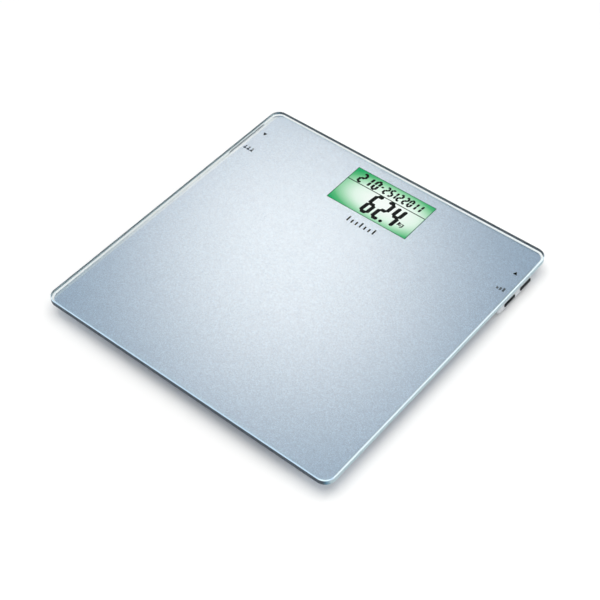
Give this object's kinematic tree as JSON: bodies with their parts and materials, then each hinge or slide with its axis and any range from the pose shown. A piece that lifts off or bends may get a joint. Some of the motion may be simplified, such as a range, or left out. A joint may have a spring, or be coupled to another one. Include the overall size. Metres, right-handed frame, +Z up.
{
  "type": "glass personal scale",
  "caption": "Square glass platform scale with a back-lit display under the glass, side keys, coin cells and load-cell feet.",
  "frame": {"origin": "on the floor under the centre of the square platform", "axes": "+Z up out of the platform, +Y towards the display edge, +X towards the up and set keys"},
  "size_m": [0.3, 0.3, 0.02],
  "materials": {
    "clear_glass": "clear tempered float glass with a faint green-blue tint and polished arris",
    "silver_print": "fine metallic silver-blue screen print seen through the glass",
    "white_tape": "white bonding tape",
    "housing_plastic": "silver-grey moulded ABS with a fine grain",
    "black_foam": "black foam",
    "display": "green back-lit liquid crystal display",
    "black_plastic": "black moulded plastic",
    "white_plastic": "white moulded plastic",
    "light_acrylic": "clear acrylic light guide",
    "circuit_board": "green solder mask over glass-fibre board",
    "key_rubber": "satin black silicone rubber",
    "plated_steel": "zinc-plated steel",
    "battery_steel": "nickel-plated steel can",
    "contact_metal": "nickel-plated spring brass",
    "cell_steel": "stamped nickel-plated steel",
    "white_resin": "white potting resin",
    "foot_plastic": "grey moulded plastic",
    "pad_rubber": "dark grey anti-slip rubber",
    "cable_vinyl": "thin grey vinyl insulation"
  },
  "bodies": {
    "platform": {"backlight_strip": "circuit_board", "board_components": "black_plastic", "board_screws": "plated_steel", "button_harness_left": "cable_vinyl", "button_harness_right": "cable_vinyl", "cable_duct_left": "housing_plastic", "cable_duct_right": "housing_plastic", "cell_retainers": "white_plastic", "coin_cells": "battery_steel", "display_gasket": "black_foam", "foot_bracket_left": "housing_plastic", "foot_bracket_right": "housing_plastic", "foot_cover_left": "housing_plastic", "foot_cover_right": "housing_plastic", "glass_platform": "clear_glass", "housing_screws": "plated_steel", "lcd_frame": "black_plastic", "lcd_panel": "display", "light_guide": "light_acrylic", "load_cell_front_left": "cell_steel", "load_cell_front_right": "cell_steel", "load_cell_rear_left": "cell_steel", "load_cell_rear_right": "cell_steel", "lower_shell": "housing_plastic", "main_board": "circuit_board", "mounting_tape": "white_tape", "negative_contact": "contact_metal", "positive_contact": "contact_metal", "print_film": "silver_print", "reflector_sheet": "white_plastic", "sensor_cable_front_left": "cable_vinyl", "sensor_cable_front_right": "cable_vinyl", "sensor_cable_rear_left": "cable_vinyl", "sensor_cable_rear_right": "cable_vinyl", "side_board_left": "circuit_board", "side_board_right": "circuit_board", "strain_gauges": "white_resin", "tact_switches_left": "black_plastic", "tact_switches_right": "black_plastic", "unit_switch": "black_plastic", "upper_shell": "housing_plastic", "zebra_strip": "key_rubber"},
    "foot_front_left": {"foot_cup_front_left": "foot_plastic", "foot_pad_front_left": "pad_rubber"},
    "foot_front_right": {"foot_cup_front_right": "foot_plastic", "foot_pad_front_right": "pad_rubber"},
    "foot_rear_left": {"foot_cup_rear_left": "foot_plastic", "foot_pad_rear_left": "pad_rubber"},
    "foot_rear_right": {"foot_cup_rear_right": "foot_plastic", "foot_pad_rear_right": "pad_rubber"},
    "key_up": {"button_up": "key_rubber", "plunger_up": "white_plastic"},
    "key_set": {"button_set": "key_rubber", "plunger_set": "white_plastic"},
    "key_down": {"button_down": "key_rubber", "plunger_down": "white_plastic"},
    "key_user": {"button_user": "key_rubber", "plunger_user": "white_plastic"},
    "battery_cover": {"battery_cover": "housing_plastic"},
    "unit_knob": {"unit_knob": "white_plastic"}
  },
  "joints": [
    {"name": "foot_front_left_press", "type": "slide", "parent": "platform", "child": "foot_front_left", "axis": [0, 0, 1], "range_m": [0, 0.0008], "stiffness_N_per_m": 460000, "deforming": ["load_cell_front_left"]},
    {"name": "foot_front_right_press", "type": "slide", "parent": "platform", "child": "foot_front_right", "axis": [0, 0, 1], "range_m": [0, 0.0008], "stiffness_N_per_m": 460000, "deforming": ["load_cell_front_right"]},
    {"name": "foot_rear_left_press", "type": "slide", "parent": "platform", "child": "foot_rear_left", "axis": [0, 0, 1], "range_m": [0, 0.0008], "stiffness_N_per_m": 460000, "deforming": ["load_cell_rear_left"]},
    {"name": "foot_rear_right_press", "type": "slide", "parent": "platform", "child": "foot_rear_right", "axis": [0, 0, 1], "range_m": [0, 0.0008], "stiffness_N_per_m": 460000, "deforming": ["load_cell_rear_right"]},
    {"name": "button_up_press", "type": "slide", "parent": "platform", "child": "key_up", "axis": [-1, 0, 0], "range_m": [0, 0.0005], "stiffness_N_per_m": 3000},
    {"name": "button_set_press", "type": "slide", "parent": "platform", "child": "key_set", "axis": [-1, 0, 0], "range_m": [0, 0.0005], "stiffness_N_per_m": 3000},
    {"name": "button_down_press", "type": "slide", "parent": "platform", "child": "key_down", "axis": [1, 0, 0], "range_m": [0, 0.0005], "stiffness_N_per_m": 3000},
    {"name": "button_user_press", "type": "slide", "parent": "platform", "child": "key_user", "axis": [1, 0, 0], "range_m": [0, 0.0005], "stiffness_N_per_m": 3000},
    {"name": "battery_cover_slide", "type": "slide", "parent": "platform", "child": "battery_cover", "axis": [0, -1, 0], "range_m": [0, 0.058]},
    {"name": "unit_knob_slide", "type": "slide", "parent": "platform", "child": "unit_knob", "axis": [1, 0, 0], "range_m": [-0.0015, 0.0015]}
  ]
}
